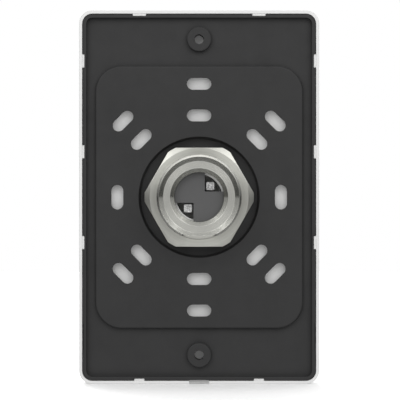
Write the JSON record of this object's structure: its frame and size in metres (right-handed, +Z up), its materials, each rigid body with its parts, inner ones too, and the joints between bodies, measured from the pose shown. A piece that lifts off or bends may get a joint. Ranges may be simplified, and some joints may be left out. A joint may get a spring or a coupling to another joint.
{
  "type": "pedestrian push button",
  "caption": "Wall push button for pedestrians: clip-on cover over a slotted back plate, with a threaded 22 mm operator, hex nut and sprung domed cap.",
  "frame": {"origin": "where the operator's axis meets the wall plane, midway between the two mounting screws", "axes": "+Z up, along the plate's longer side; +Y into the wall, out of the plate's rear face; the button faces -Y; +X to the right for a person facing the button"},
  "size_m": [0.0634, 0.0264, 0.0986],
  "materials": {
    "black_plastic": "fine moulded grain, black",
    "white_plastic": "semi-gloss moulded, white",
    "nickel_plate": "turned, satin nickel plate",
    "zinc_steel": "zinc-plated",
    "stainless": "satin stainless, circular brushing",
    "spring_steel": "drawn spring wire",
    "seal_rubber": "moulded, dull",
    "core_plastic": "moulded, dark grey",
    "guide_plastic": "moulded, mid grey",
    "foot_plastic": "moulded, white"
  },
  "bodies": {
    "housing": {"back_plate": "black_plastic", "front_cover": "white_plastic", "barrel": "nickel_plate", "hex_nut": "nickel_plate", "lock_washer": "zinc_steel", "panel_gasket": "seal_rubber", "bezel_ring": "stainless", "bezel_o_ring": "seal_rubber", "cap_seal": "seal_rubber", "guide_sleeve": "guide_plastic", "guide_disc": "guide_plastic", "spring_seat": "zinc_steel", "bump_ring": "seal_rubber", "return_spring": "spring_steel"},
    "button": {"button_cap": "stainless", "cap_core": "core_plastic", "plunger": "core_plastic", "stem_o_ring": "seal_rubber", "core_screw": "zinc_steel", "actuator_feet": "foot_plastic"}
  },
  "joints": [
    {"name": "button_press", "type": "slide", "parent": "housing", "child": "button", "axis": [0, 1, 0], "range_m": [0, 0.0028], "stiffness_N_per_m": 1200, "springref_m": -0.003, "deforming": ["return_spring"]}
  ]
}
